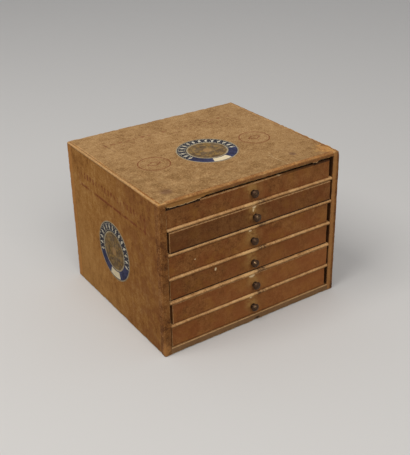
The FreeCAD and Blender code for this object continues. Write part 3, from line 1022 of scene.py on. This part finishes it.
foot_paper = paper_finish("foot_kraft", (146, 104, 60), (104, 70, 40), (176, 138, 92), (196, 156, 108),
                          foot_marks, clouds=0.7, specks=0.7)
back_paper = paper_finish("back_kraft", (158, 112, 64), (118, 76, 42), (184, 140, 88), (202, 158, 106),
                          drag=(1.0, 1.0, 0.15), clouds=0.65, streaks=0.45)
cover("bottom_board", foot_paper, "case_board",
      sides(EDGE_RADIUS, left=SEAM_RADIUS, right=SEAM_RADIUS, top=0.7), (0.0, 0.0, 1.0, 0.8, 1.0, 0.6),
      sides(INNER_FLEX, front=OUTER_FLEX, rear=OUTER_FLEX), (2.4, 4.0, 2.0))
cover("back_board", back_paper, "case_board", sides(SEAM_RADIUS), sides(0.0),
      sides(INNER_FLEX, rear=OUTER_FLEX), (3.0, 2.0, 3.0))


# === Shelves and spacers ================================================
# Five shelves of thin board, each with a strip of pale paper rolled over its front edge into
# a full, soft nose that ends between the uprights.  Fingers reaching for the knobs have
# rubbed the middle of each nose.  Spacers inside the side boards carry the shelves' ends.
DRAWERS = range(1, 7)
SHELVES = range(1, 6)
NOSE_RADIUS = 2.15
NOSE_SWELL = 0.6            # how far the rolled paper swells below the shelf
NOSE_LENGTH = 4.5           # swelling from the front, back to the plain shelf
NOSE_FORWARD = 0.7
NOSE_RUB_X = -8.0           # middle of the rubbed stretch
NOSE_DARK_FROM_X = 5.0           # where the darker patches right of the knobs begin
NOSE_SHADE_AND_GRIME = (1.15, 1.1, 1.0, 0.9, 1.0)     # painted shade, with some grime, on each nose's underside, from the top one down
NOSE_POLISH = (0.8, 0.6, 1.0, 0.9, 0.95)    # how pale the rubbed middle of each is


def nose_marks(place):
    """Dusty brown board behind a paper nose, painted shade with some grime below, pale in the middle, and
    darker patches to its right.
    """
    x, y = place.axes()[:2]
    # darker patches on each nose, just right of the knobs
    darker_patches = x.band(NOSE_DARK_FROM_X, NOSE_DARK_FROM_X + 12.0, 3.0) * place.grain(3.5, 4.0, 0.7).ease(0.40, 0.54)
    pale = abs(x - NOSE_RUB_X).ease(15.0, 6.0) * place.grain(5.0, 5.0, 0.7).ease(0.30, 0.50)
    return [(place.grain(12.0, 5.0, 0.7).ease(0.40, 0.64), 0.45, (146, 98, 54)),
            # painted shade, with some grime, on the lower half of the nose
            (place.layer("below").ease(0.30, 0.75), 0.60, (124, 80, 42)),
            (pale * place.layer("polish"), 0.9, (242, 194, 130)),
            (darker_patches, 0.8, (82, 56, 38)),
            (y.ease(CASE_FRONT + 9.0, CASE_FRONT + 9.6), 0.9, (120, 86, 52))]


nose_paper = paper_finish("shelf_nose_kraft", (214, 163, 106), (164, 112, 64), (232, 186, 128),
                          (224, 184, 130), nose_marks, least=0.70, drag=(0.25, 1.0, 1.0), clouds=0.5,
                          mottle=0.7, grain=0.8, streaks=0.4, specks=0.4)
spacer_paper = paper_finish("spacer_board", (140, 92, 50), (98, 60, 32), (170, 124, 76), (190, 146, 98),
                            drag=(1.0, 1.0, 0.3), clouds=0.5, mottle=0.6)
for number, grime_and_shade, polish in zip(SHELVES, NOSE_SHADE_AND_GRIME, NOSE_POLISH):
    node = "shelf_%d" % number
    low, high = span(node)
    low[0], high[0] = LEFT_BAY + STRIP_PROUD, RIGHT_BAY - STRIP_PROUD
    low[1] -= NOSE_FORWARD
    low[2] -= NOSE_SWELL
    points, quads, wear = worn_skin(low, high, sides(NOSE_RADIUS, left=1.5, right=1.5, rear=SEAM_RADIUS),
                                    (0.3, 0.3, 1.0, 0.0, 0.2, 0.55), sides(INNER_FLEX, front=0.12),
                                    (1.4, 6.0, 0.7), chew=0.4)
    share_down = (high[2] - points[:, 2]) / (high[2] - low[2])
    behind_nose = held((points[:, 1] - low[1] - NOSE_RADIUS) / (NOSE_LENGTH - NOSE_RADIUS))
    points[:, 2] += NOSE_SWELL * share_down * behind_nose
    waver = 0.22 * lumps(points * (1.0, 0.0, 0.0), 26.0, 24.0 + number, 3)
    points[:, 1] += np.clip(waver, -0.2, 0.4) * (1.0 - behind_nose)
    # the below layer holds each nose's painted shade and grime
    make_piece("papered_" + node, points, quads, nose_paper, "case", "shelf_board", [node], wear=wear,
               below=share_down * (1.0 - behind_nose) * grime_and_shade, polish=np.full(len(points), polish))
for node in ("left_spacers", "right_spacers"):
    cover(node, spacer_paper, "shelf_board", (0.4, 0.4, 0.6, SEAM_RADIUS, SEAM_RADIUS, SEAM_RADIUS),
          (0.5, 0.5, 0.8, 0.0, 0.0, 0.0), sides(INNER_FLEX), (1.5, 6.0, 3.0), kind="papered", chew=0.3)


# === Drawer fronts ======================================================
# A board of 3 mm, covered in smooth red-brown paper.  Its upper edge is rubbed pale, and
# fingers have worn the paper light round the knob.
# Each front has a painted shadow along its foot, and the top one a painted shadow below the hanging lip.
FRONT_RADIUS = 0.9
FRONT_TOP_RUB = {1: 0.95, 2: 0.85, 5: 0.55}             # drawer and how rubbed its front's upper edge is
FRONT_CHIPS = (             # drawer, right of its knob, below its top edge, half width and half height
    (1, 38.0, 0.6, 3.0, 0.9),
    (2, -1.0, 1.2, 4.0, 2.6), (2, -2.5, 5.5, 1.5, 3.2),
    (3, -4.0, 0.8, 2.6, 1.6), (3, -83.0, 13.0, 1.4, 1.0),
    (4, -55.5, 5.0, 1.7, 2.6), (5, -4.0, 1.0, 5.0, 2.4), (6, -3.0, 0.8, 2.2, 1.2),
)
FINGERS_WIDE, FINGERS_HIGH = 13.0, 8.0      # reach of the wear round each knob
THUMB_X, THUMB_WIDE = -3.0, 6.5     # paler wear above it: right of the knob, and its reach
FRONT_RISE = 0.45           # paper turned up over the upper edge of every front but the top one
FRONT_FOOT_SHADE = (0.15, 1.0, 0.35, 1.0, 0.35, 0.25)        # dark line along each front's foot: painted shadow of the gap there, with some grime
FOOT_SHADE_HEIGHT = 2.3
LIP_SHADE = 2.2             # painted shadow: a dark band on the top front, below the hanging lip
SHADE_PLACES, SHADE_SHARES = (18.0, 55.0, 100.0), (0.0, 0.6, 0.85)      # and how it comes back to the right: places along the front and the painted shadow's strength there
FADED_FRONTS = (            # how much each front has faded at its left and its right
    (0.0, 0.16), (0.0, 0.12), (0.0, 0.16), (0.0, 0.46), (0.12, 0.52), (0.18, 0.52))
DULLED_FRONTS = (0.12, 0.55, 0.0, 0.18, 0.0, 0.0)       # at the left, and about half of that at the right


def front_marks(place):
    """Lighter paper where fingers have worn it, redder drifts, chips above the knob, and painted shadow
    along the foot and below the lip.
    """
    handled = place.layer("handled") * place.grain(6.0, 5.0, 0.7).ease(0.30, 0.60)
    chip = (place.grain(2.2, 5.0, 0.75) - 0.5) * 1.7 + place.layer("chipped")
    return [(place.grain(26.0, 4.0, 0.62).ease(0.42, 0.60), 0.55, (138, 74, 34)),
            (place.grain(17.0, 4.0, 0.66).ease(0.48, 0.66), 0.5, (164, 110, 47)),
            (place.layer("faded"), 1.0, (176, 108, 58)),
            (place.layer("dulled"), 1.0, (88, 52, 23)),
            (handled, 0.85, (190, 142, 80)),
            (chip.ease(0.50, 0.62), 0.95, (250, 220, 170)),
            # painted shadow along the foot and below the hanging lip, with some grime
            (place.layer("grimy"), 0.95, (34, 19, 10)),
            (place.grain(5.0, 5.0, 0.8).ease(0.71, 0.74), 0.5, (190, 148, 96)),
            (place.layer("behind"), 0.8, (128, 100, 70))]


front_paper = paper_finish("drawer_front_paper", (144, 92, 46), (112, 68, 32), (166, 112, 60),
                           (206, 162, 112), front_marks, least=0.62, roughness=0.76, relief=0.25,
                           drag=(1.0, 1.0, 0.4), clouds=0.5, mottle=0.75, grain=0.9, streaks=0.15,
                           specks=0.45)
for number in DRAWERS:
    node = "drawer_%d_front" % number
    low, high = span(node)
    high[2] += FRONT_RISE if number > 1 else 0.0
    points, quads, wear = worn_skin(low, high, sides(FRONT_RADIUS, rear=0.2),
                                    (0.6, 0.5, 1.0, 0.3, 0.3, FRONT_TOP_RUB.get(number, 0.35)),
                                    sides(INNER_FLEX, front=0.12, top=0.10), (1.3, 1.0, 1.0), chew=0.4)
    from_knob, above_knob = (points - np.mean(span("drawer_%d_knob" % number), axis=0)).T[::2]
    round_knob = np.exp(-((from_knob / FINGERS_WIDE) ** 2 + (above_knob / FINGERS_HIGH) ** 2))
    over_knob = np.exp(-((from_knob - THUMB_X) / THUMB_WIDE) ** 2)
    over_knob *= held((above_knob + 2.0) / 6.0)
    chipped = np.zeros(len(points))
    for drawer, right_of_knob, below_top, half_wide, half_high in FRONT_CHIPS:
        if drawer == number:
            off = ((from_knob - right_of_knob) / half_wide) ** 2
            off += ((high[2] - below_top - points[:, 2]) / half_high) ** 2
            chipped = np.maximum(chipped, np.exp(-off))
    # painted shadow of the gap along the front's foot, with some grime
    grimy = FRONT_FOOT_SHADE[number - 1] * held((FOOT_SHADE_HEIGHT + low[2] - points[:, 2]) / 0.8)
    # the top front: painted shadow below the hanging lip and toward the right, with no rubbed pale edge
    # inside it
    if number == 1:
        hanging = held(np.interp(points[:, 0], lip_places, TOP_UNDERSIDE - lip_feet) / 0.6)
        shade = np.maximum(hanging, np.interp(points[:, 0], SHADE_PLACES, SHADE_SHARES))
        shade *= held((LIP_SHADE + points[:, 2] - high[2]) / 0.6)
        grimy = np.maximum(grimy, 0.95 * shade)
        wear = wear * (1.0 - shade)
    to_right = (points[:, 0] - low[0]) / (high[0] - low[0])
    make_piece("papered_" + node, points, quads, front_paper, "drawer_%d" % number, "drawer_front", [node],
               wear=wear, chipped=chipped, grimy=grimy,
               handled=held(0.5 * round_knob + 1.2 * over_knob),
               behind=held((points[:, 1] - (high[1] - 0.5)) / 0.5),
               faded=np.interp(to_right, (0.0, 1.0), FADED_FRONTS[number - 1]),
               dulled=DULLED_FRONTS[number - 1] * (1.0 - 0.5 * to_right))


# === Drawer trays =======================================================
# Bottom, sides and back of 2 mm board, butted and glued, covered outside in the same
# brown paper and lined inside with a pale one.
TRAY_INSIDE = {             # axis and way in which each part looks into the tray
    "bottom": (2, 1), "left_side": (0, 1), "right_side": (0, -1), "back": (1, -1)}


def tray_marks(place):
    """Pale lining on the faces that look into the tray."""
    lined = place.layer("lined")
    return [(lined, 0.92, (206, 188, 152)),
            (lined * place.grain(18.0, 4.0, 0.65).ease(0.4, 0.7), 0.3, (160, 134, 98))]


tray_paper = paper_finish("drawer_tray_paper", (142, 96, 56), (104, 66, 38), (170, 124, 80), (200, 164, 118),
                          tray_marks, relief=0.25, clouds=0.5, grain=0.5, specks=0.4)
for number in DRAWERS:
    for part, (axis, way) in TRAY_INSIDE.items():
        node = "drawer_%d_%s" % (number, part)
        low, high = span(node)
        top_rub = 0.0 if part == "bottom" else 0.9
        points, quads, wear = worn_skin(low, high, (0.3, 0.3, 0.2, 0.3, 0.2, 0.5),
                                        (0.5, 0.5, 0.2, 0.5, 0.3, top_rub), sides(INNER_FLEX),
                                        (4.0, 4.0, 3.0), chew=0.25)
        face = high[axis] if way > 0 else low[axis]
        lined = held(1.0 - np.abs(points[:, axis] - face) / 0.35)
        if part != "bottom":
            lined *= held((high[2] - 1.0 - points[:, 2]) / 0.4)
        make_piece("papered_" + node, points, quads, tray_paper, "drawer_%d" % number, "drawer_tray", [node],
                   wear=wear, lined=lined)


# === Knobs and pins =====================================================
# Small turned knobs of brass gone dark brown, polished on the brow by fingers, each held
# by a split pin whose legs lie flat behind the front.
# Each head also has a painted highlight on its upper left, partly a worn bare patch.
COLLAR_RADIUS, COLLAR_LENGTH = 3.8, 0.9
NECK_RADIUS, NECK_LENGTH, NECK_FLARE = 2.1, 2.6, 0.7
HEAD_RADIUS, HEAD_LENGTH = 5.2, 4.35
BEAD_RADIUS = 0.45          # of the collar's rounded edge and of the head's rim
HEAD_RIM = 5.05             # middle of the rim, out from the drawer's face
KNOB_TURNS = 40
BROW_POLISH = 0.68
BROW_OUT, BROW_LENGTH = 4.2, 3.4    # where the polish starts, out from the drawer, and how it grows
GLINT_X, GLINT_Z = -2.4, 3.2        # painted highlight, also a worn bare patch: its middle on the head, half width and half height
GLINT_WIDE, GLINT_HIGH = 1.8, 1.6
DENT_SIZE, DENT_DEPTH = 2.4, 0.012  # dents in the head, as a share of its radius
KNOB_GLINTS = (0.15, 0.32, 0.12, 0.5, 0.12, 0.4)      # how bright each head's painted highlight is


def metal_finish(name, dark, bright, roughness):
    """Dull old metal: brown film, brighter where it is rubbed and where a highlight is painted into its
    wear, and pitted.
    """
    finish, tree, shader = new_finish(name, 0.5)
    place = place_in(tree)
    film = place.grain(1.6, 5.0, 0.7).ease(0.32, 0.7)
    bare = (film * 0.5 + place.layer("wear")).ease(0.95, 1.45)
    shader.inputs["Metallic"].default_value = 0.75
    bare.tint(dark, bright).to(shader.inputs["Base Color"])
    bare.ease(0.0, 1.0, roughness + 0.10, roughness - 0.08).to(shader.inputs["Roughness"])
    roughen(shader, film, 0.25, 0.0001)
    return finish


knob_metal = metal_finish("knob_brass_darkened", (70, 48, 31), (188, 152, 106), 0.26)
pin_metal = metal_finish("pin_brass", (120, 94, 54), (190, 160, 104), 0.4)


def arc(centre, reach, start, end, steps):
    """Points (radius, distance out) on an ellipse round centre, at angles from radial in degrees."""
    angles = np.radians(np.linspace(start, end, steps))
    return [(centre[0] + reach[0] * math.cos(a), centre[1] + reach[1] * math.sin(a)) for a in angles]


def knob_profile():
    """Collar, hollow neck, and a domed head with a rounded rim."""
    bead = (BEAD_RADIUS, BEAD_RADIUS)
    flared = NECK_RADIUS + NECK_FLARE
    neck_middle = COLLAR_LENGTH + NECK_LENGTH / 2.0
    head_root = COLLAR_LENGTH + NECK_LENGTH
    dome = (HEAD_RADIUS - 0.5, head_root + HEAD_LENGTH - 0.12 - HEAD_RIM - BEAD_RADIUS)
    return (arc((COLLAR_RADIUS - BEAD_RADIUS, COLLAR_LENGTH / 2.0), bead, -90, 90, 7)
            + arc((flared, neck_middle), (-NECK_FLARE, NECK_LENGTH / 2.0 - 0.05), -75, 75, 9)
            + [(flared, head_root)]
            + arc((HEAD_RADIUS - BEAD_RADIUS, HEAD_RIM), bead, -60, 75, 7)
            + arc((0.0, HEAD_RIM + BEAD_RADIUS), dome, 3, 80, 10))


def turned(profile, turns):
    """Points and faces of a knob turned about the y axis, closed at its front and back."""
    angles = np.linspace(0.0, 2.0 * math.pi, turns, endpoint=False)
    rings = [np.column_stack((radius * np.cos(angles), np.full(turns, -out), radius * np.sin(angles)))
             for radius, out in profile]
    points = np.concatenate(rings + [[(0.0, -profile[-1][1] - 0.08, 0.0)], [(0.0, 0.0, 0.0)]])
    tip, root = len(points) - 2, len(points) - 1
    faces = lofted(len(profile), turns)
    last = (len(profile) - 1) * turns
    for turn in range(turns):
        after = (turn + 1) % turns
        faces += [(last + turn, last + after, tip), (after, turn, root)]
    return points, faces


knob_points, knob_faces = turned(knob_profile(), KNOB_TURNS)
for number in DRAWERS:
    node = "drawer_%d_knob" % number
    middle = np.mean(span(node), axis=0)
    middle[1] = span("drawer_%d_front" % number)[0][1]
    knob_x, knob_y, knob_z = knob_points.T
    polish_and_glint = BROW_POLISH * held((-knob_y - BROW_OUT) / BROW_LENGTH)
    # painted highlight on the upper left of the head, partly a worn bare patch
    off = ((knob_x - GLINT_X) / GLINT_WIDE) ** 2 + ((knob_z - GLINT_Z) / GLINT_HIGH) ** 2
    polish_and_glint += KNOB_GLINTS[number - 1] * np.exp(-off) * (knob_y < -4.5)
    scale = 1.0 - DENT_DEPTH * held(lumps(knob_points + number * 10.0, DENT_SIZE, 4.0, 2))
    placed = knob_points * np.column_stack((scale, np.ones(len(scale)), scale)) + middle
    make_piece("turned_" + node, placed, knob_faces, knob_metal, "drawer_%d" % number, "knob_metal",
               [node], wear=polish_and_glint)
    pin_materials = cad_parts["drawer_%d_knob_pin" % number].data.materials
    pin_materials.clear()
    pin_materials.append(pin_metal)


# === Frayed fibres ======================================================
# Where the paper is worn through along the case's edges, slivers of pasteboard and paper
# stand a little proud of it, pale and fluffy.
FRAY_INSET = 0.42 * EDGE_RADIUS     # from the square corner to the slivers, each way
FRAY_STEP = 2.0             # between slivers, before about half of them are dropped
FRAY_HALVES = (120.0, 105.0, 94.0)  # beyond these, out from the case's middle, a place is by an outer face


def make_fray_tree():
    """Geometry nodes: thin pointed slivers along edge lines, thinned out and turned at random."""
    tree, takes, gives = new_group(
        "frayed_slivers",
        [("Edges", "Geometry", None), ("Spacing", "Float", FRAY_STEP), ("Kept", "Float", 0.5),
         ("Least Size", "Vector", None), ("Most Size", "Vector", None), ("Lean", "Float", 0.2),
         ("Seed", "Int", 3), ("Finish", "Material", None)],
        [("Slivers", "Geometry")], "GeometryNodeTree")
    line = wire(tree, "GeometryNodeMeshToCurve", {"Mesh": takes["Edges"]}).outputs["Curve"]
    dots = wire(tree, "GeometryNodeCurveToPoints", {"Curve": line, "Length": takes["Spacing"]},
                mode="LENGTH")
    lean_back = wire(tree, "Math", {0: takes["Lean"], 1: -1.0}, operation="MULTIPLY").outputs[0]
    kept, leans, sizes = [
        wire(tree, "FunctionNodeRandomValue", {**feeds, "Seed": takes["Seed"]}, data_type=kind).outputs
        for kind, feeds in (("BOOLEAN", {"Probability": takes["Kept"]}),
                            ("FLOAT_VECTOR", {0: lean_back, 1: takes["Lean"]}),
                            ("FLOAT_VECTOR", {0: takes["Least Size"], 1: takes["Most Size"]}))]
    angles = wire(tree, "FunctionNodeEulerToRotation", {0: leans[0]}).outputs[0]
    turn = wire(tree, "FunctionNodeRotateRotation",
                {"Rotation": dots.outputs["Rotation"], "Rotate By": angles}, rotation_space="LOCAL")
    sliver = wire(tree, "GeometryNodeMeshCone",
                  {"Vertices": 4, "Radius Top": 0.1, "Radius Bottom": 0.5, "Depth": 1.0})
    put = wire(tree, "GeometryNodeInstanceOnPoints",
               {"Points": dots.outputs["Points"], "Selection": kept[3], "Instance": sliver.outputs["Mesh"],
                "Rotation": turn.outputs["Rotation"], "Scale": sizes[0]})
    realize(tree, put, takes, gives)
    return tree


def fray_lines():
    """Mesh of the lines along which the case is frayed, sunk as the boards are."""
    left, right = CASE_LEFT + FRAY_INSET, CASE_RIGHT - FRAY_INSET
    front, rear = CASE_FRONT + FRAY_INSET, CASE_REAR - FRAY_INSET
    top, foot = CASE_TOP - FRAY_INSET, CASE_FOOT + FRAY_INSET
    uprights = ((left, front), (right, front), (left, rear), (right, rear))
    ends = [((*uprights[a], top), (*uprights[b], top)) for a, b in ((0, 2), (1, 3), (2, 3), (0, 1))]
    ends += [((*upright, foot), (*upright, top)) for upright in uprights]
    places, links = [], []
    for start, end in np.array(ends):
        count = int(np.linalg.norm(end - start) / 4.0)
        row = start + (end - start) * np.linspace(0.02, 0.98, count)[:, None]
        links += [(len(places) + k, len(places) + k + 1) for k in range(count - 1)]
        places += row.tolist()
    places = np.array(places)
    from_middle = places - (0.0, CASE_MIDDLE_Y, CASE_TOP / 2.0)
    inward = np.where(np.abs(from_middle) > FRAY_HALVES, -np.sign(from_middle), 0.0)
    sunk = OUTER_FLEX * hollows(places) + 0.5 * CHEW_DEPTH * bites_at(places)
    places += inward * sunk[:, None]
    mesh = bpy.data.meshes.new("fray_lines")
    mesh.from_pydata(places.tolist(), links, [])
    return mesh


fray_board = paper_finish("frayed_board", (196, 154, 100), (150, 106, 62), (222, 184, 132), (222, 184, 132),
                          mottle=0.8, grain=0.5, specks=0.3)
points, faces = grown(make_fray_tree(), fray_lines(), Spacing=FRAY_STEP, Kept=0.55, Lean=0.22, Seed=3,
                      Finish=fray_board, **{"Least Size": (0.25, 0.14, 1.0), "Most Size": (0.7, 0.34, 3.6)})
make_piece("frayed_fibres", points, faces, fray_board, "case", "case_board", crease=40,
           wear=np.zeros(len(points)))
